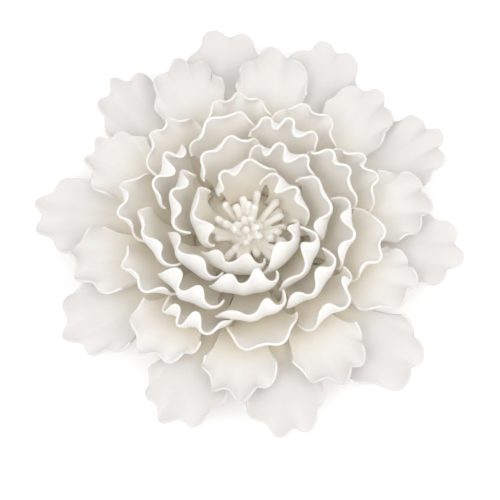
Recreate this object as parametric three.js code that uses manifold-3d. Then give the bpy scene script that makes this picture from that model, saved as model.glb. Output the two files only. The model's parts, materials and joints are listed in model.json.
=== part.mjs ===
// Unglazed porcelain wall flower: six rows of ruffled slab petals and a tuft of stamens on a domed base.
// Millimetres. +Z runs along the flower's axis, and the origin is the middle of its flat back.
import * as THREE from "three";
import { mergeVertices } from "three/addons/utils/BufferGeometryUtils.js";
import Module from "manifold-3d";

// Clay and clearances
const SHEET_THICKNESS = 2.4;
const SEAT_GAP = 0.3;

// Domed base that carries every petal
const BASE_RADIUS = 62;
const BASE_EDGE_HEIGHT = 4;
const BASE_EDGE_ROUND = 1.5;
const CROWN_RADIUS = 19;
const CROWN_HEIGHT = 20;
const BASE_SIDES = 48;

// Stamen tuft: a button with rolled fingers that lean out row by row, set a little off the axis towards -Y
const TUFT_OFFSET = 4;
const BUTTON_RADIUS = 14;
const BUTTON_SIDE_HEIGHT = 5;
const BUTTON_TOP_RADIUS = 9;
const BUTTON_HEIGHT = 14;
const BUTTON_SIDES = 20;
const FINGER_RADIUS = 2.5;
const FINGER_TIP_RADIUS = 2.8;
const FINGER_END_RADIUS = 1.5;
const FINGER_SIDES = 6;
const FINGER_ROWS = [
  { count: 1, lean: 0, length: 18, turn: 0 },
  { count: 7, lean: 25, length: 19, turn: 15 },
  { count: 11, lean: 46, length: 26, turn: 0 },
  { count: 15, lean: 63, length: 29, turn: 9 },
];

// A petal's outline sweeps this far round its head to either side. Its width and its ruffle grow towards the
// margin, and its line from foot to rim is pulled out of its two ends.
const MARGIN_SWEEP = THREE.MathUtils.degToRad(95);
const WIDTH_GROWTH = 2;
const RUFFLE_GROWTH = 2.2;
const PROFILE_PULL = 0.36;
// Half the angle that the ripples of an open petal fan out over
const OPEN_SPREAD = THREE.MathUtils.degToRad(20);
// Step along or across a petal, as a share of it, over which its slope is measured
const SLOPE_STEP = 1e-3;
// Mesh rows from foot to margin, and the columns in each
const ROW_STEPS = [0, 0.42, 0.74, 1];
const ROW_COLUMNS = [5, 5, 10, 20];

// Rims, row by row from the inside out. A cupped row stands outside the row before it by their ruffles, their
// lean and the slab, with a clearance to spare. The two open rows step out, and each row rises or drops.
const INNER_RIM_RADIUS = 40;
const FIFTH_ROW_CLEARANCE = 0.5;
const FOURTH_ROW_CLEARANCE = 0.8;
const THIRD_ROW_CLEARANCE = 0.5;
const SECOND_ROW_STEP = 35;
const OUTER_ROW_STEP = 21;
const INNER_RIM_HEIGHT = 52;
const FIFTH_ROW_RISE = 4;
const FOURTH_ROW_DROP = 1;
const THIRD_ROW_DROP = 12;
const SECOND_ROW_DROP = 12;
const OUTER_ROW_DROP = 8;

// Rows of petals from the inside out. Seat is the foot's place on the base's shoulder, from 0 at the crown to
// 1 at the edge. Ripples are the whole waves of ruffle in a full turn of the row. On a cupped row they are
// upright flutes that run on from neighbour to neighbour, so that overlapping ruffles nest. Roll leans a
// petal like a tile, with the side of its higher azimuth inward. Azimuths run from +X towards +Y, in degrees.
// Reach is how far a petal's rim stands outside (or, negative, inside) its row's rim radius.
const PETAL_ROWS = [
  {
    name: "inner_petal",
    seat: 0.116,
    rootAngle: 35,
    step: 0,
    rise: 0,
    rimAngle: 98,
    headHalfWidth: 26,
    headHalfLength: 16,
    footHalfWidth: 12,
    ruffle: 3.6,
    lobe: 0.05,
    ripples: 10,
    cupped: true,
    cup: 0,
    roll: 3,
    azimuths: [99, 35.6, -36.2, -108.4, 176.1],
    reach: [1, 0, -1, 0, 0],
  },
  {
    name: "fifth_row_petal",
    seat: 0.28,
    rootAngle: 28,
    step: FIFTH_ROW_CLEARANCE,
    rise: FIFTH_ROW_RISE,
    rimAngle: 92,
    headHalfWidth: 26.5,
    headHalfLength: 18,
    footHalfWidth: 11.5,
    ruffle: 4,
    lobe: 0.05,
    ripples: 14,
    cupped: true,
    cup: 0,
    roll: 3.7,
    azimuths: [109.1, 61.8, 13.8, -38.2, -91.8, -144.2, 164.7],
    reach: [1, 1, 0, -1, -1, 0, 0],
  },
  {
    name: "fourth_row_petal",
    seat: 0.44,
    rootAngle: 20,
    step: FOURTH_ROW_CLEARANCE,
    rise: -FOURTH_ROW_DROP,
    rimAngle: 84,
    headHalfWidth: 26.5,
    headHalfLength: 19,
    footHalfWidth: 11.5,
    ruffle: 4.5,
    lobe: 0.05,
    ripples: 18,
    cupped: true,
    cup: 0,
    roll: 3.8,
    azimuths: [148.8, 107.2, 69, 30.5, -6.5, -45, -87.4, -128.2, -168.3],
    reach: [-2, 0.5, 1, 1, -1, -2, 0, 1, -1],
  },
  {
    name: "third_row_petal",
    seat: 0.58,
    rootAngle: 19,
    step: THIRD_ROW_CLEARANCE,
    rise: -THIRD_ROW_DROP,
    rimAngle: 52,
    headHalfWidth: 26.5,
    headHalfLength: 22,
    footHalfWidth: 12,
    ruffle: 4,
    lobe: 0.05,
    ripples: 24,
    cupped: true,
    cup: 1,
    roll: 3.4,
    azimuths: [132, 96.3, 61, 25.5, -10, -46, -82.3, -118, -153.5, 170],
    reach: [1, 1, 2, 1, 1, 1, 0, -1, -1, -1],
  },
  {
    name: "second_row_petal",
    seat: 0.72,
    rootAngle: 13,
    step: SECOND_ROW_STEP,
    rise: -SECOND_ROW_DROP,
    rimAngle: 20,
    headHalfWidth: 26,
    headHalfLength: 24,
    footHalfWidth: 13,
    ruffle: 4.5,
    lobe: 0.045,
    ripples: 28,
    cupped: false,
    cup: 1.5,
    roll: 0,
    azimuths: [113, 81.3, 47, 9.4, -22.8, -58.6, -93.5, -128, -166.7, 152.5],
    reach: [5, 5, 6, -3, -8, -1, -5, -13, -4, -5],
  },
  {
    name: "outer_petal",
    seat: 0.86,
    rootAngle: 8,
    step: OUTER_ROW_STEP,
    rise: -OUTER_ROW_DROP,
    rimAngle: 8,
    headHalfWidth: 28,
    headHalfLength: 27,
    footHalfWidth: 12.5,
    ruffle: 4,
    lobe: 0.056,
    ripples: 30,
    cupped: false,
    cup: 2,
    roll: 0,
    azimuths: [97.7, 65.9, 28, -6.6, -44, -78.7, -110.6, -148.2, 174.6, 131],
    reach: [2, 2, 1, -3, 3, -1, -2, -4, -2, -3],
  },
];

const bisque = new THREE.MeshStandardMaterial({ color: 0xf0ede7, roughness: 0.7, metalness: 0 });
const wasm = await Module();
wasm.setup();

function toSolid(geometry) {
  const bare = geometry.clone();
  bare.deleteAttribute("normal");
  bare.deleteAttribute("uv");
  const merged = mergeVertices(bare);
  const vertProperties = new Float32Array(merged.attributes.position.array);
  const triVerts = new Uint32Array(merged.index.array);
  return new wasm.Manifold(new wasm.Mesh({ numProp: 3, vertProperties, triVerts }));
}

function toGeometry(solid) {
  const { vertProperties, triVerts } = solid.getMesh();
  const geometry = new THREE.BufferGeometry();
  geometry.setAttribute("position", new THREE.BufferAttribute(new Float32Array(vertProperties), 3));
  geometry.setIndex(new THREE.BufferAttribute(new Uint32Array(triVerts), 1));
  geometry.computeVertexNormals();
  return geometry;
}

// A solid of revolution about +Z from [radius, height] points that start and end on the axis.
function turned(points, sides) {
  const profile = points.map(([radius, height]) => new THREE.Vector2(radius, height));
  return new THREE.LatheGeometry(profile, sides).rotateX(Math.PI / 2);
}

// Height of the base's sloping shoulder at a radius.
function shoulderHeight(radius) {
  const slope = (CROWN_HEIGHT - BASE_EDGE_HEIGHT) / (BASE_RADIUS - CROWN_RADIUS);
  return BASE_EDGE_HEIGHT + (BASE_RADIUS - radius) * slope;
}

function base() {
  const points = [
    [0, 0],
    [BASE_RADIUS - BASE_EDGE_ROUND, 0],
    [BASE_RADIUS, BASE_EDGE_ROUND],
    [BASE_RADIUS, BASE_EDGE_HEIGHT],
    [CROWN_RADIUS, CROWN_HEIGHT],
    [0, CROWN_HEIGHT],
  ];
  const mesh = new THREE.Mesh(turned(points, BASE_SIDES), bisque);
  mesh.name = "base";
  return mesh;
}

function finger(length) {
  const points = [
    [0, 0],
    [FINGER_RADIUS, 0],
    [FINGER_TIP_RADIUS, length - FINGER_TIP_RADIUS],
    [FINGER_END_RADIUS, length],
    [0, length],
  ];
  return turned(points, FINGER_SIDES);
}

function stamenTuft() {
  const button = [
    [0, 0],
    [BUTTON_RADIUS, 0],
    [BUTTON_RADIUS, BUTTON_SIDE_HEIGHT],
    [BUTTON_TOP_RADIUS, BUTTON_HEIGHT],
    [0, BUTTON_HEIGHT],
  ];
  let tuft = toSolid(turned(button, BUTTON_SIDES));
  for (const row of FINGER_ROWS) {
    for (let i = 0; i < row.count; i += 1) {
      const around = THREE.MathUtils.degToRad(row.turn + (360 * i) / row.count);
      const rod = finger(row.length)
        .rotateY(THREE.MathUtils.degToRad(row.lean))
        .rotateZ(around)
        .translate(0, 0, FINGER_RADIUS);
      tuft = tuft.add(toSolid(rod));
    }
  }
  const mesh = new THREE.Mesh(toGeometry(tuft), bisque);
  mesh.name = "stamen_tuft";
  mesh.position.set(0, -TUFT_OFFSET, CROWN_HEIGHT + SEAT_GAP);
  return mesh;
}

// Radius and height of each row's rim.
function rowRims() {
  const rims = [];
  PETAL_ROWS.forEach((row, i) => {
    if (i === 0) {
      rims.push(new THREE.Vector2(INNER_RIM_RADIUS, INNER_RIM_HEIGHT));
      return;
    }
    const inside = PETAL_ROWS[i - 1];
    const folds = SHEET_THICKNESS + row.ruffle + inside.ruffle + row.roll + inside.roll;
    const out = row.cupped ? folds + row.step : row.step;
    rims.push(new THREE.Vector2(rims[i - 1].x + out, rims[i - 1].y + row.rise));
  });
  return rims;
}

// The line in radius and height that a petal follows from its seat on the base to its rim.
function petalProfile(row, rowRim, reach) {
  const rise = THREE.MathUtils.degToRad(row.rootAngle);
  const fall = THREE.MathUtils.degToRad(row.rimAngle);
  const half = SHEET_THICKNESS / 2;
  const rootRadius = THREE.MathUtils.lerp(CROWN_RADIUS, BASE_RADIUS, row.seat);
  const seat = shoulderHeight(rootRadius + half * Math.sin(rise)) + SEAT_GAP;
  const root = new THREE.Vector2(rootRadius, seat + half * Math.cos(rise));
  const rim = new THREE.Vector2(rowRim.x + reach, rowRim.y);
  const pull = root.distanceTo(rim) * PROFILE_PULL;
  const leave = new THREE.Vector2(Math.cos(rise), Math.sin(rise)).multiplyScalar(pull).add(root);
  const arrive = new THREE.Vector2(Math.cos(fall), Math.sin(fall)).multiplyScalar(-pull).add(rim);
  return new THREE.CubicBezierCurve(root, leave, arrive, rim);
}

// A point in the middle of a petal's thickness, on the petal that stands along +X. u runs across the petal
// from -1 to 1, and t from its foot at 0 to its margin at 1.
function petalPoint({ row, profile, length, azimuth }, u, t) {
  const sweep = u * MARGIN_SWEEP;
  const outline = length - row.headHalfLength * (1 - Math.cos(sweep));
  const flute = (row.headHalfWidth * Math.sin(sweep)) / profile.getPoint(outline / length).x;
  const wave = row.ripples * (azimuth + (row.cupped ? flute : u * OPEN_SPREAD));
  const lobe = 1 + (row.lobe * Math.cos(wave) * (1 + Math.cos(sweep))) / 2;
  const marginAcross = row.headHalfWidth * Math.sin(sweep) * lobe;
  const marginAlong = length - row.headHalfLength * (1 - Math.cos(sweep) * lobe);
  const across = THREE.MathUtils.lerp(row.footHalfWidth * u, marginAcross, t ** WIDTH_GROWTH);
  const along = (marginAlong * t) / length;
  const spot = profile.getPoint(along);
  const inward = profile.getPoint(along + SLOPE_STEP).sub(spot).normalize();
  inward.set(-inward.y, inward.x);
  const ruffle = row.ruffle * along * t ** RUFFLE_GROWTH * Math.sin(wave);
  const side = across / row.headHalfWidth;
  const lift = t * side * (row.roll + row.cup * side);
  const turn = across / spot.x;
  spot.addScaledVector(inward, ruffle + lift);
  return new THREE.Vector3(spot.x * Math.cos(turn), spot.x * Math.sin(turn), spot.y);
}

// The direction square to the petal's upper face at a point.
function petalNormal(petal, u, t) {
  const acrossStep = petalPoint(petal, u + SLOPE_STEP, t).sub(petalPoint(petal, u - SLOPE_STEP, t));
  const before = Math.max(t - SLOPE_STEP, 0);
  const alongStep = petalPoint(petal, u, t + SLOPE_STEP).sub(petalPoint(petal, u, before));
  return alongStep.cross(acrossStep).normalize();
}

// Triangles between a row of vertices and the next one, which has as many columns or twice as many.
function stitch(near, far) {
  const faces = [];
  const doubled = far.length > near.length;
  for (let i = 0; i + 1 < near.length; i += 1) {
    const j = doubled ? 2 * i : i;
    faces.push([near[i], far[j], far[j + 1]], [near[i], far[j + 1], near[i + 1]]);
    if (doubled) faces.push([near[i + 1], far[j + 1], far[j + 2]]);
  }
  return faces;
}

// A closed sheet: an upper and a lower skin half a thickness off the middle, joined round the edge.
function petalGeometry(petal) {
  const upper = [];
  const lower = [];
  const rows = ROW_STEPS.map((t, k) => {
    const columns = ROW_COLUMNS[k];
    return Array.from({ length: columns + 1 }, (_, i) => {
      const u = (2 * i) / columns - 1;
      const middle = petalPoint(petal, u, t);
      const offset = petalNormal(petal, u, t).multiplyScalar(SHEET_THICKNESS / 2);
      upper.push(middle.clone().add(offset));
      lower.push(middle.clone().sub(offset));
      return upper.length - 1;
    });
  });
  const below = upper.length;
  const skin = rows.slice(1).flatMap((far, k) => stitch(rows[k], far));
  const leftSide = rows.map((row) => row[0]);
  const rightSide = rows.map((row) => row.at(-1)).reverse();
  const edge = [...leftSide, ...rows.at(-1).slice(1, -1), ...rightSide, ...rows[0].slice(1, -1).reverse()];
  const faces = [...skin, ...skin.map(([a, b, c]) => [a + below, c + below, b + below])];
  edge.forEach((a, i) => {
    const b = edge[(i + 1) % edge.length];
    faces.push([b, a, a + below], [b, a + below, b + below]);
  });
  const geometry = new THREE.BufferGeometry().setFromPoints([...upper, ...lower]);
  geometry.setIndex(faces.flat());
  geometry.computeVertexNormals();
  return geometry;
}

function petalRow(row, rowRim) {
  const group = new THREE.Group();
  row.azimuths.forEach((degrees, i) => {
    const azimuth = THREE.MathUtils.degToRad(degrees);
    const profile = petalProfile(row, rowRim, row.reach[i]);
    const petal = { row, profile, length: profile.getLength(), azimuth };
    const mesh = new THREE.Mesh(petalGeometry(petal), bisque);
    mesh.name = `${row.name}_${String(i + 1).padStart(2, "0")}`;
    mesh.rotation.z = azimuth;
    group.add(mesh);
  });
  return group;
}

const rims = rowRims();
const flower = new THREE.Group();
flower.add(base(), stamenTuft(), ...PETAL_ROWS.map((row, i) => petalRow(row, rims[i])));

export default flower;
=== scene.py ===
"""Looks of an unglazed porcelain wall flower: six rows of ruffled slab petals round a tuft of stamens."""

import json
import math
import random

import bpy
import numpy as np
from mathutils import Matrix, Vector

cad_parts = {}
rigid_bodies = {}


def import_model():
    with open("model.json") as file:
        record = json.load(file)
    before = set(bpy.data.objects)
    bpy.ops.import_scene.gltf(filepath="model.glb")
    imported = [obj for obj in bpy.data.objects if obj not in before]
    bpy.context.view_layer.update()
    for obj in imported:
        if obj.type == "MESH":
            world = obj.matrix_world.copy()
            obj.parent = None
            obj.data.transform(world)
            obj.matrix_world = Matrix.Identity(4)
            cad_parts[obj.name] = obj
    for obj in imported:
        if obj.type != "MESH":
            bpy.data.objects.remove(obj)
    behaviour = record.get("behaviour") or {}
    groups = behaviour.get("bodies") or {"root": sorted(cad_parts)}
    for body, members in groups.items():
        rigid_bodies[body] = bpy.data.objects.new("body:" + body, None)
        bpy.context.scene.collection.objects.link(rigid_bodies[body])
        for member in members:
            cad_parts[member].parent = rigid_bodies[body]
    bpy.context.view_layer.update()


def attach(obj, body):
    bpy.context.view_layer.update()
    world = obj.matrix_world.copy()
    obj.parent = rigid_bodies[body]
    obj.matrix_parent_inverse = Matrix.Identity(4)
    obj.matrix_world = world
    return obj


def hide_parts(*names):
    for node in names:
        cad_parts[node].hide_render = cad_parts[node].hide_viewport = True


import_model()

# Lengths of the flower are millimetres, and the meshes are metres
MM = 0.001
BODY = "root"

# Clay slabs, which thin to a share of their thickness at the margin, by this power of the way there
SHEET_THICKNESS = 2.4
MARGIN_SHARE = 0.72
MARGIN_THINNING = 3
SEAT_GAP = 0.3

# Domed base under the petals. Its top is where a face's normal rises past UPWARD
BASE_RADIUS = 62
BASE_EDGE_HEIGHT = 4
BASE_EDGE_ROUND = 1.5
BASE_ROUND_STEPS = 4
CROWN_RADIUS = 19
CROWN_HEIGHT = 20
BASE_SIDES = 96
BASE_BEVEL_ANGLE = math.radians(30)
BASE_SMOOTH_ANGLE = math.radians(35)
UPWARD = 0.9

# Stamen tuft: a button with rolled fingers that lean out row by row, in degrees. Each finger is drawn out of
# a sphere, which has its poles where its rings are narrower than POLE_WIDTH
TUFT_OFFSET = 4
BUTTON_RADIUS = 14
BUTTON_HEIGHT = 14
BUTTON_SIDES = 40
BUTTON_RINGS = 20
FINGER_RADIUS = 2.5
FINGER_TIP_RADIUS = 2.8
FINGER_SIDES = 18
FINGER_RINGS = 24
POLE_WIDTH = 1e-6
FINGER_ROWS = [
    dict(count=1, lean=0, length=18, turn=0),
    dict(count=7, lean=25, length=19, turn=15),
    dict(count=11, lean=46, length=26, turn=0),
    dict(count=15, lean=63, length=29, turn=9),
]

# How unevenly the fingers were set, how much longer those on the far side (+Y) are, and how far they bend
FINGER_SEED = 5
FINGER_UNEVEN_TURN = 10
FINGER_UNEVEN_LEAN = 9
FINGER_UNEVEN_LENGTH = 2.5
FINGER_FAR_LENGTH = 3
FINGER_BEND = 30

# Grain of the mesh in which button and fingers are pressed together, and how it is smoothed
CLAY_VOXEL = 0.55
CLAY_SMOOTHING = 0.5
CLAY_SMOOTH_PASSES = 3

# Petal outline, and the line from foot to rim
MARGIN_SWEEP = math.radians(95)
WIDTH_GROWTH = 2
PROFILE_PULL = 0.36
OPEN_SPREAD = math.radians(20)
LINE_STEPS = 200

# Grid of a petal, with its steps crowded towards the margin
PETAL_COLUMNS = 52
PETAL_STEPS = 18
STEP_CROWDING = 1.6

# Ruffles are waves round a row. They wander along it and swell by sums of slow waves, each given as its count
# round the circle, its strength and its share of the row's own phase, which follows from the row's rim
PHASE_PER_RADIUS = 1.7
WANDER = 0.03
WANDER_WAVES = [(2, 1, 1), (3, 1, 2.3), (7, 0.7, 0.6)]
SWELL = 0.32
SWELL_WAVES = [(4, 1, 1), (5, 1, 1.9)]

# Cupped rows: how far a wave is pinched as a share of its height, and how the ruffle changes from the front
# (-Y) to the back (+Y), where the waves are tighter, the lip is narrower and the margins curl in less
FOLD = 0.16
BACK_TIGHTNESS = 0.18
BACK_LIP = 0.3
FRONT_CURL = 0.32

# Open rows: how much each petal is rolled, and the soft crease down it. Both change from petal to petal
TILT = 2.2
TILT_CHANGE = 2.4
CREASE = 1.2
CREASE_WIDTH = 0.14
CREASE_DRIFT = 0.3
CREASE_CHANGE = 3

# Lobes of the margin, which are rounder than a plain wave and fade towards the petal's sides
LOBE_ROUNDING = 0.12
LOBE_FADE = 1.6

# Side ends that turn up, by these powers of the way along and across the petal
END_CURL = 4.5
END_CURL_ALONG = 6
END_CURL_ACROSS = 5

# Lumps that the fingers left in the slabs: their height, and their waves in radians a millimetre
LUMP = 0.35
LUMP_ACROSS = 0.19
LUMP_ALONG = 0.13

# Rows of petals from the outside in. Azimuths run from +X towards +Y, in degrees. A petal's line leaves its
# seat at the root's angle and comes to the rim, moved out by its reach, at the rim's angle. Cup and roll lift
# its sides. The ruffle's height grows from foot to margin by the power growth, and curl moves it inward by a
# share of that height. Lobe is the lobes' depth as a share, and ripples the waves in a full circle
PETAL_ROWS = [
    dict(
        name="outer_petal", root_radius=56, root_angle=8, rim_radius=151, rim_height=23, rim_angle=8,
        half_width=28, half_length=27, foot_half_width=12.5, cupped=False, cup=2,
        ruffle=3.4, growth=12, curl=0.2, lobe=0.12, ripples=36,
        azimuths=[97.7, 65.9, 28, -6.6, -44, -78.7, -110.6, -148.2, 174.6, 131],
        reach=[2, 2, 1, -3, 3, -1, -2, -4, -2, -3],
    ),
    dict(
        name="second_row_petal", root_radius=50, root_angle=13, rim_radius=130, rim_height=31, rim_angle=20,
        half_width=26, half_length=24, foot_half_width=13, cupped=False, cup=1.5,
        ruffle=4.8, growth=11, curl=0.5, lobe=0.11, ripples=36,
        azimuths=[113, 81.3, 47, 9.4, -22.8, -58.6, -93.5, -128, -166.7, 152.5],
        reach=[5, 5, 6, -3, -8, -1, -5, -13, -4, -5],
    ),
    dict(
        name="third_row_petal", root_radius=44, root_angle=19, rim_radius=95, rim_height=43, rim_angle=52,
        half_width=26.5, half_length=22, foot_half_width=12, cupped=True, cup=1, roll=3.4,
        ruffle=5, growth=9, curl=1.25, lobe=0.06, ripples=29,
        azimuths=[132, 96.3, 61, 25.5, -10, -46, -82.3, -118, -153.5, 170],
        reach=[1, 1, 2, 1, 1, 1, 0, -1, -1, -1],
    ),
    dict(
        name="fourth_row_petal", root_radius=38, root_angle=20, rim_radius=76.4, rim_height=55, rim_angle=84,
        half_width=26.5, half_length=19, foot_half_width=11.5, cupped=True, cup=0, roll=3.8,
        ruffle=4.6, growth=7, curl=1.5, lobe=0.06, ripples=21,
        azimuths=[148.8, 107.2, 69, 30.5, -6.5, -45, -87.4, -128.2, -168.3],
        reach=[-2, 0.5, 1, 1, -1, -2, 0, 1, -1],
    ),
    dict(
        name="fifth_row_petal", root_radius=31, root_angle=28, rim_radius=57.2, rim_height=56, rim_angle=92,
        half_width=26.5, half_length=18, foot_half_width=11.5, cupped=True, cup=0, roll=3.7,
        ruffle=4.4, growth=6.5, curl=1.55, lobe=0.06, ripples=16,
        azimuths=[109.1, 61.8, 13.8, -38.2, -91.8, -144.2, 164.7],
        reach=[1, 1, 0, -1, -1, 0, 0],
    ),
    dict(
        name="inner_petal", root_radius=24, root_angle=35, rim_radius=40, rim_height=52, rim_angle=98,
        half_width=26, half_length=16, foot_half_width=12, cupped=True, cup=0, roll=3,
        ruffle=4.2, growth=6, curl=1.6, lobe=0.06, ripples=11,
        azimuths=[99, 35.6, -36.2, -108.4, 176.1],
        reach=[1, 0, -1, 0, 0],
    ),
]

# Clay colour, and painted shade: a warmer, darker colour in the recesses below the line of the rims. That
# line is level out to the crest and falls from there to the outer rims. The open rows get painted shade as
# well, a greyer colour
CLAY_COLOUR = (0.925, 0.914, 0.892, 1)
PAINTED_SHADE_COLOUR = (0.86, 0.797, 0.672, 1)
# Painted shade on the open rows: the greyer colour, and the radius and run over which it fades in
OPEN_ROW_SHADE_COLOUR = (0.80, 0.785, 0.766, 1)
OPEN_ROW_SHADE_START = 84
OPEN_ROW_SHADE_FADE = 40
CREST_RADIUS = 76
CREST_HEIGHT = 55
CREST_FALL = 0.95
PAINTED_SHADE_DEPTH = 36
PAINTED_SHADE_POWER = 1.3
# How much the clouds break up the edge of the painted shade in the recesses
CLOUD_SHARE = 0.25

# Dry surface: how fine its clouds, pores and grain are to the metre, the drag lines that fingers drew along
# the petals, given round the flower and to the metre, and how much of each goes into the bump. The bump's
# distance and the glow's depth are metres
CLOUD_SCALE = 42.0
PORE_SCALE = 520.0
GRAIN_SCALE = 2600.0
DRAG_AROUND = 34.0
DRAG_ALONG = 22.0
NOISE_DETAIL = 3.0
GRAIN_DETAIL = 2.0
NOISE_MIDDLE = 0.5
GRAIN_BUMP = 0.25
PORE_BUMP = 0.4
DRAG_BUMP = 2.2
BUMP_STRENGTH = 0.25
BUMP_DISTANCE = 0.0004
ROUGHNESS = 0.6
ROUGHNESS_SPREAD = 0.2
SPECULAR = 0.35
GLOW = 0.12
GLOW_DEPTH = 0.004

# Sockets of the node that mixes two colours
MIX_SHARE = 0
MIX_LOW = 6
MIX_HIGH = 7
MIX_RESULT = 2

# Camera at the photograph's angle. Distances are metres, lens and sensor millimetres
VIEW_ELEVATION = math.radians(70)
VIEW_DISTANCE = 1.7
VIEW_LENS = 176
VIEW_SENSOR = 36
VIEW_TARGET = Vector((0.0007, -0.0131, 0.0192))

# Stage and light, in metres and watts
FLOOR_SIZE = 40
FLOOR_COLOUR = (0.86, 0.86, 0.86, 1)
FLOOR_LIFT = 0.3
WORLD_COLOUR = (1, 1, 1, 1)
WORLD_STRENGTH = 0.88
LAMPS = [
    dict(name="key_softbox", place=(-0.6, -0.6, 1.2), size=0.7, power=3.4),
    dict(name="fill_softbox", place=(0.8, -0.3, 0.9), size=0.9, power=2.6),
]


class Signal:
    """A socket in a material's tree. Arithmetic on it adds Math nodes."""

    def __init__(self, finish, socket):
        self.finish = finish
        self.socket = socket

    def maths(self, operation, *values):
        return self.finish.node("ShaderNodeMath", {"operation": operation}, dict(enumerate(values)))

    def __add__(self, other):
        return self.maths("ADD", self, other)

    __radd__ = __add__

    def __sub__(self, other):
        return self.maths("SUBTRACT", self, other)

    def __rsub__(self, other):
        return self.maths("SUBTRACT", other, self)

    def __mul__(self, other):
        return self.maths("MULTIPLY", self, other)

    def __truediv__(self, other):
        return self.maths("DIVIDE", self, other)

    def __pow__(self, other):
        return self.maths("POWER", self, other)

    def at_least(self, floor):
        return self.maths("MAXIMUM", self, floor)

    def clamped(self):
        return self.finish.node("ShaderNodeClamp", {}, {"Value": self})


class Finish:
    """A material, and the one way in which nodes are added to it."""

    def __init__(self, name):
        self.material = bpy.data.materials.new(name)
        self.material.use_nodes = True
        self.tree = self.material.node_tree
        self.tree.nodes.clear()

    def node(self, kind, settings, sockets, output=0):
        """Adds a node with these settings and these values or links in its sockets, and gives an output."""
        node = self.tree.nodes.new(kind)
        for name, setting in settings.items():
            setattr(node, name, setting)
        for key, value in sockets.items():
            if isinstance(value, Signal):
                self.tree.links.new(value.socket, node.inputs[key])
            else:
                node.inputs[key].default_value = value
        return Signal(self, node.outputs[output]) if node.outputs else None

    def noise(self, place, scale, detail=NOISE_DETAIL):
        return self.node("ShaderNodeTexNoise", {}, {"Vector": place, "Scale": scale, "Detail": detail})

    def colour_between(self, share, low, high):
        """A colour that runs from low to high as share goes from 0 to 1."""
        sockets = {MIX_SHARE: share, MIX_LOW: low, MIX_HIGH: high}
        return self.node("ShaderNodeMix", {"data_type": "RGBA"}, sockets, output=MIX_RESULT)

    def show(self, shader):
        self.node("ShaderNodeOutputMaterial", {}, {"Surface": shader})
        return self.material


def bisque_finish():
    """Unglazed porcelain, chalky warm white with a dry grain and drag lines; painted shade darkens the
    recesses warmly and greys the open rows.
    """
    finish = Finish("bisque porcelain")
    place = finish.node("ShaderNodeTexCoord", {}, {}, output="Object")
    x, y, z = (finish.node("ShaderNodeSeparateXYZ", {}, {"Vector": place}, output=axis) for axis in "XYZ")
    radius = (x * x + y * y) ** 0.5
    outside = (radius - CREST_RADIUS * MM).at_least(0.0)
    depth = CREST_HEIGHT * MM - outside * CREST_FALL - z
    cloud = (finish.noise(place, CLOUD_SCALE) - NOISE_MIDDLE) * CLOUD_SHARE
    # Painted shade: the colour turns warmer and darker the deeper a point lies below the line of the rims,
    # with a cloudy edge
    painted_shade = (depth / (PAINTED_SHADE_DEPTH * MM) + cloud).clamped() ** PAINTED_SHADE_POWER
    # Painted shade: the open rows turn greyer outward of their start radius
    open_row_shade = ((radius - OPEN_ROW_SHADE_START * MM) / (OPEN_ROW_SHADE_FADE * MM)).clamped()
    colour = finish.colour_between(open_row_shade, CLAY_COLOUR, OPEN_ROW_SHADE_COLOUR)
    drawn = finish.node(
        "ShaderNodeCombineXYZ", {},
        {"X": x / radius * DRAG_AROUND, "Y": y / radius * DRAG_AROUND, "Z": (radius + z) * DRAG_ALONG},
    )
    drag = finish.noise(drawn, 1.0)
    grain = finish.noise(place, GRAIN_SCALE, GRAIN_DETAIL)
    pores = finish.noise(place, PORE_SCALE)
    height = grain * GRAIN_BUMP + pores * PORE_BUMP + drag * DRAG_BUMP
    bump = finish.node(
        "ShaderNodeBump", {}, {"Strength": BUMP_STRENGTH, "Distance": BUMP_DISTANCE, "Height": height}
    )
    clay = finish.node(
        "ShaderNodeBsdfPrincipled", {},
        {
            "Base Color": finish.colour_between(painted_shade, colour, PAINTED_SHADE_COLOUR),
            "Roughness": (pores - NOISE_MIDDLE) * ROUGHNESS_SPREAD + ROUGHNESS,
            "Normal": bump,
            "Specular IOR Level": SPECULAR,
            "Subsurface Weight": GLOW,
            "Subsurface Scale": GLOW_DEPTH,
        },
    )
    return finish.show(clay)


def line_points(row, reach):
    """The four guide points, as radius and height, of a petal's line from its seat on the base to its rim."""
    rise = math.radians(row["root_angle"])
    fall = math.radians(row["rim_angle"])
    half = SHEET_THICKNESS / 2
    slope = (CROWN_HEIGHT - BASE_EDGE_HEIGHT) / (BASE_RADIUS - CROWN_RADIUS)
    seat = BASE_EDGE_HEIGHT + (BASE_RADIUS - row["root_radius"] - half * math.sin(rise)) * slope + SEAT_GAP
    root = np.array([row["root_radius"], seat + half * math.cos(rise)])
    rim = np.array([row["rim_radius"] + reach, row["rim_height"]])
    pull = np.linalg.norm(rim - root) * PROFILE_PULL
    leave = root + pull * np.array([math.cos(rise), math.sin(rise)])
    arrive = rim - pull * np.array([math.cos(fall), math.sin(fall)])
    return np.array([root, leave, arrive, rim])


def along_line(guides, share):
    """Radius and height on a petal's line, and its direction there."""
    s = np.asarray(share)[..., None]
    a, b, c, d = guides
    spot = a * (1 - s) ** 3 + 3 * b * s * (1 - s) ** 2 + 3 * c * s**2 * (1 - s) + d * s**3
    run = 3 * (b - a) * (1 - s) ** 2 + 6 * (c - b) * s * (1 - s) + 3 * (d - c) * s**2
    return spot, run / np.linalg.norm(run, axis=-1, keepdims=True)


def line_length(guides):
    spots, _ = along_line(guides, np.linspace(0, 1, LINE_STEPS + 1))
    return np.linalg.norm(np.diff(spots, axis=0), axis=1).sum()


def slow_waves(waves, turn, phase):
    """Waves round a row added up, each with its count, its strength and its share of the phase."""
    return sum(strength * np.sin(count * turn + share * phase) for count, strength, share in waves)


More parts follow.
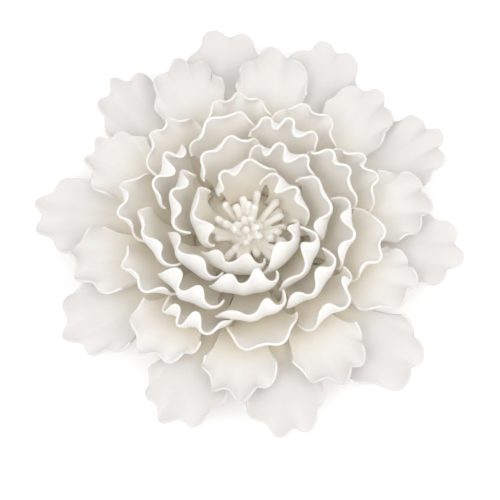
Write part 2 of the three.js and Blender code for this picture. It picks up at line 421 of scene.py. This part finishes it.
def petal_shape(row, index, u, t):
    """The middle of a petal's thickness. u runs across it from -1 to 1, and t from foot to margin."""
    azimuth = math.radians(row["azimuths"][index])
    guides = line_points(row, row["reach"][index])
    length = line_length(guides)
    width = row["half_width"]
    cupped = row["cupped"]
    own = PHASE_PER_RADIUS * row["rim_radius"]

    # Where each point of the margin lies round the row, and the wave there
    sweep = u * MARGIN_SWEEP
    outline = length - row["half_length"] * (1 - np.cos(sweep))
    rim_spot, _ = along_line(guides, outline / length)
    flute = width * np.sin(sweep) / rim_spot[..., 0]
    turn = azimuth + (flute if cupped else u * OPEN_SPREAD)
    back = np.sin(turn) if cupped else 0
    gather = BACK_TIGHTNESS * np.cos(turn) if cupped else 0
    wave = row["ripples"] * (turn + WANDER * slow_waves(WANDER_WAVES, turn, own) - gather)

    # The lobed fan, from its foot to its margin
    scallop = np.cos(wave) - LOBE_ROUNDING * np.cos(2 * wave)
    lobe = 1 + row["lobe"] * scallop * ((1 + np.cos(sweep)) / 2) ** LOBE_FADE
    margin_across = width * np.sin(sweep) * lobe
    margin_along = length - row["half_length"] * (1 - np.cos(sweep) * lobe)
    widen = t**WIDTH_GROWTH
    across = (1 - widen) * row["foot_half_width"] * u + widen * margin_across
    along = margin_along * t / length
    side = (1 - widen) * row["foot_half_width"] * u / width + widen * np.sin(sweep)

    # What stands out of the fan: ruffle, roll, turned-up ends, lumps and crease
    swell = 1 + SWELL * slow_waves(SWELL_WAVES, turn, own)
    height = row["ruffle"] * swell * along * t ** (row["growth"] * (1 + BACK_LIP * back))
    curl = row["curl"] * (1 - FRONT_CURL * back)
    tilt = row["roll"] if cupped else TILT * math.sin(TILT_CHANGE * index + own)
    end = np.maximum(u, 0) if cupped else np.abs(u)
    lift = t * side * (tilt + row["cup"] * side) + END_CURL * t**END_CURL_ALONG * end**END_CURL_ACROSS
    lump = LUMP * t * np.sin(LUMP_ACROSS * across + own) * np.sin(LUMP_ALONG * along * length + 2 * own)
    if not cupped:
        fold = side - CREASE_DRIFT * math.sin(CREASE_CHANGE * index + own)
        lift = lift - CREASE * along * np.exp(-((fold / CREASE_WIDTH) ** 2))

    # The fan bent along the petal's line and round the flower's axis
    spot, run = along_line(guides, along)
    inward = np.stack([-run[..., 1], run[..., 0]], axis=-1)
    pinch = FOLD * height * np.sin(2 * wave) if cupped else 0
    angle = azimuth + (across - pinch) / spot[..., 0]
    spot = spot + inward * (height * (np.sin(wave) + curl) + lift + lump)[..., None]
    radius = spot[..., 0]
    return np.stack([radius * np.cos(angle), radius * np.sin(angle), spot[..., 1]], axis=-1) * MM


def apply_modifier(piece, kind, **settings):
    modifier = piece.modifiers.new(kind.title(), kind)
    for key, value in settings.items():
        setattr(modifier, key, value)
    bpy.context.view_layer.objects.active = piece
    bpy.ops.object.modifier_apply(modifier=modifier.name)


def clear_mesh_selection():
    """Leaves no vertex, edge or face of the active piece selected."""
    bpy.ops.object.mode_set(mode="EDIT")
    bpy.ops.mesh.select_all(action="DESELECT")
    bpy.ops.object.mode_set(mode="OBJECT")


def dress(piece, name, material):
    """Names a finished piece for the CAD node that it stands for, and gives it its clay."""
    piece.name = name + "_clay"
    piece.data.name = piece.name
    piece.data.materials.clear()
    piece.data.materials.append(material)
    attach(piece, BODY)
    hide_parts(name)


def make_petal(row, index, material):
    """A slab shaped from a flat grid, thickened, and rounded all round its edge by one subdivision."""
    bpy.ops.object.select_all(action="DESELECT")
    bpy.ops.mesh.primitive_grid_add(x_subdivisions=PETAL_COLUMNS, y_subdivisions=PETAL_STEPS, size=2)
    petal = bpy.context.object
    flat = np.zeros(len(petal.data.vertices) * 3)
    petal.data.vertices.foreach_get("co", flat)
    flat = flat.reshape(-1, 3)
    steps = 1 - ((1 - flat[:, 1]) / 2) ** STEP_CROWDING
    petal.data.vertices.foreach_set("co", petal_shape(row, index, flat[:, 0], steps).ravel())
    petal.data.update()
    thick = petal.vertex_groups.new(name="thick")
    for vertex, step in enumerate(steps):
        thick.add([vertex], 1 - float(step) ** MARGIN_THINNING, "REPLACE")
    apply_modifier(
        petal, "SOLIDIFY", thickness=SHEET_THICKNESS * MM, offset=0, vertex_group=thick.name,
        thickness_vertex_group=MARGIN_SHARE,
    )
    apply_modifier(petal, "SUBSURF", levels=1, render_levels=1)
    bpy.ops.object.mode_set(mode="EDIT")
    bpy.ops.mesh.select_all(action="SELECT")
    bpy.ops.mesh.normals_make_consistent(inside=False)
    bpy.ops.object.mode_set(mode="OBJECT")
    bpy.ops.object.shade_smooth()
    dress(petal, f"{row['name']}_{index + 1:02d}", material)


def finger_thickness(left):
    """Radius of a rolled finger where this much of its length is left: a plain roll with a ball tip."""
    tip = max(0.0, 1 - left / (2 * FINGER_TIP_RADIUS))
    thick = FINGER_RADIUS + (FINGER_TIP_RADIUS - FINGER_RADIUS) * math.sin(math.pi * min(tip, 0.5))
    cap = min(1.0, left / FINGER_TIP_RADIUS)
    return thick * math.sqrt(max(0.0, 1 - (1 - cap) ** 2))


def make_finger(length, lean, turn, bend):
    """One rolled finger, from a sphere drawn out along a bent middle line."""
    bpy.ops.mesh.primitive_uv_sphere_add(segments=FINGER_SIDES, ring_count=FINGER_RINGS, radius=1)
    finger = bpy.context.object
    for vertex in finger.data.vertices:
        share = (vertex.co.z + 1) / 2
        along = share * length
        ring = max(1 - vertex.co.z**2, 0) ** 0.5
        flat = Vector((vertex.co.x, vertex.co.y))
        flat = flat / ring if ring > POLE_WIDTH else Vector((0, 0))
        thick = finger_thickness(length - along)
        sag = math.radians(bend) * share**2 * length / 2
        vertex.co = Vector((flat.x * thick + sag, flat.y * thick, along))
    place = Matrix.Rotation(math.radians(turn), 4, "Z") @ Matrix.Rotation(math.radians(lean), 4, "Y")
    finger.data.transform(Matrix.Scale(MM, 4) @ Matrix.Translation((0, 0, FINGER_RADIUS)) @ place)
    return finger


def keep_main_body(piece):
    """Deletes any specks that lie loose beside a piece, by keeping what is joined to its lowest point."""
    lowest = min(piece.data.vertices, key=lambda vertex: vertex.co.z).index
    clear_mesh_selection()
    piece.data.vertices[lowest].select = True
    bpy.ops.object.mode_set(mode="EDIT")
    bpy.ops.mesh.select_linked()
    bpy.ops.mesh.select_all(action="INVERT")
    bpy.ops.mesh.delete(type="VERT")
    bpy.ops.object.mode_set(mode="OBJECT")


def make_stamens(material):
    """The button and its fingers, pressed together into one lump of clay."""
    draw = random.Random(FINGER_SEED)
    bpy.ops.object.select_all(action="DESELECT")
    bpy.ops.mesh.primitive_uv_sphere_add(
        segments=BUTTON_SIDES, ring_count=BUTTON_RINGS, radius=BUTTON_RADIUS * MM
    )
    button = bpy.context.object
    for vertex in button.data.vertices:
        vertex.co.z = max(vertex.co.z, 0) * BUTTON_HEIGHT / BUTTON_RADIUS
    parts = [button]
    for row in FINGER_ROWS:
        outward = row["lean"] / FINGER_ROWS[-1]["lean"]
        for i in range(row["count"]):
            turn = row["turn"] + 360 * i / row["count"] + draw.uniform(-1, 1) * FINGER_UNEVEN_TURN
            lean = row["lean"] + draw.uniform(-1, 1) * FINGER_UNEVEN_LEAN
            far = FINGER_FAR_LENGTH * math.sin(math.radians(turn)) * outward
            length = row["length"] + far + draw.uniform(-1, 1) * FINGER_UNEVEN_LENGTH
            parts.append(make_finger(length, lean, turn, draw.uniform(-1, 1) * FINGER_BEND))
    bpy.ops.object.select_all(action="DESELECT")
    for part in parts:
        part.select_set(True)
    bpy.context.view_layer.objects.active = button
    bpy.ops.object.join()
    tuft = bpy.context.object
    tuft.data.transform(Matrix.Translation((0, -TUFT_OFFSET * MM, (CROWN_HEIGHT + SEAT_GAP) * MM)))
    apply_modifier(tuft, "REMESH", mode="VOXEL", voxel_size=CLAY_VOXEL * MM)
    keep_main_body(tuft)
    apply_modifier(tuft, "SMOOTH", factor=CLAY_SMOOTHING, iterations=CLAY_SMOOTH_PASSES)
    bpy.ops.object.shade_smooth()
    dress(tuft, "stamen_tuft", material)


def make_base(material):
    """The domed disc under the petals, drawn up from a cylinder, with its edges rounded."""
    bpy.ops.object.select_all(action="DESELECT")
    bpy.ops.mesh.primitive_cylinder_add(
        vertices=BASE_SIDES, radius=BASE_RADIUS * MM, depth=BASE_EDGE_HEIGHT * MM,
        location=(0, 0, BASE_EDGE_HEIGHT * MM / 2),
    )
    bpy.ops.object.transform_apply(location=True)
    base = bpy.context.object
    clear_mesh_selection()
    for face in base.data.polygons:
        face.select = face.normal.z > UPWARD
    bpy.ops.object.mode_set(mode="EDIT")
    rise = (CROWN_HEIGHT - BASE_EDGE_HEIGHT) * MM
    bpy.ops.mesh.extrude_region_move(TRANSFORM_OT_translate={"value": (0, 0, rise)})
    share = CROWN_RADIUS / BASE_RADIUS
    bpy.ops.transform.resize(value=(share, share, 1), center_override=(0, 0, CROWN_HEIGHT * MM))
    bpy.ops.object.mode_set(mode="OBJECT")
    apply_modifier(
        base, "BEVEL", width=BASE_EDGE_ROUND * MM, segments=BASE_ROUND_STEPS, limit_method="ANGLE",
        angle_limit=BASE_BEVEL_ANGLE,
    )
    bpy.ops.object.shade_smooth_by_angle(angle=BASE_SMOOTH_ANGLE)
    dress(base, "base", material)


def floor_finish():
    """Pale floor that the camera sees as white, and that keeps the soft shadow."""
    finish = Finish("pale floor")
    plain = finish.node("ShaderNodeBsdfDiffuse", {}, {"Color": FLOOR_COLOUR})
    seen = [
        finish.node("ShaderNodeLightPath", {}, {}, output=ray)
        for ray in ("Is Camera Ray", "Is Glossy Ray", "Is Transmission Ray")
    ]
    lift = finish.node("ShaderNodeEmission", {}, {"Strength": sum(seen) * FLOOR_LIFT})
    return finish.show(finish.node("ShaderNodeAddShader", {}, {0: plain, 1: lift}))


def make_stage():
    bpy.ops.object.select_all(action="DESELECT")
    bpy.ops.mesh.primitive_plane_add(size=FLOOR_SIZE)
    floor = bpy.context.object
    floor.name = "studio_floor"
    floor.data.materials.append(floor_finish())


def add_lamp(name, place, size, power):
    lamp = bpy.data.objects.new(name, bpy.data.lights.new(name, "AREA"))
    bpy.context.scene.collection.objects.link(lamp)
    lamp.data.size = size
    lamp.data.energy = power
    lamp.location = place
    lamp.rotation_euler = (-Vector(place)).to_track_quat("-Z", "Y").to_euler()


def light_studio():
    world = bpy.data.worlds.new("studio")
    bpy.context.scene.world = world
    world.use_nodes = True
    background = world.node_tree.nodes["Background"]
    background.inputs["Color"].default_value = WORLD_COLOUR
    background.inputs["Strength"].default_value = WORLD_STRENGTH
    for lamp in LAMPS:
        add_lamp(**lamp)


def place_camera():
    camera = bpy.data.objects.new("camera", bpy.data.cameras.new("camera"))
    bpy.context.scene.collection.objects.link(camera)
    away = Vector((0, -math.cos(VIEW_ELEVATION), math.sin(VIEW_ELEVATION)))
    camera.location = VIEW_TARGET + away * VIEW_DISTANCE
    camera.rotation_euler = (-away).to_track_quat("-Z", "Y").to_euler()
    camera.data.lens = VIEW_LENS
    camera.data.sensor_width = VIEW_SENSOR
    bpy.context.scene.camera = camera


bisque = bisque_finish()
make_base(bisque)
make_stamens(bisque)
for petal_row in PETAL_ROWS:
    for number in range(len(petal_row["azimuths"])):
        make_petal(petal_row, number, bisque)
make_stage()
light_studio()
place_camera()
bpy.context.scene.view_settings.view_transform = "Standard"
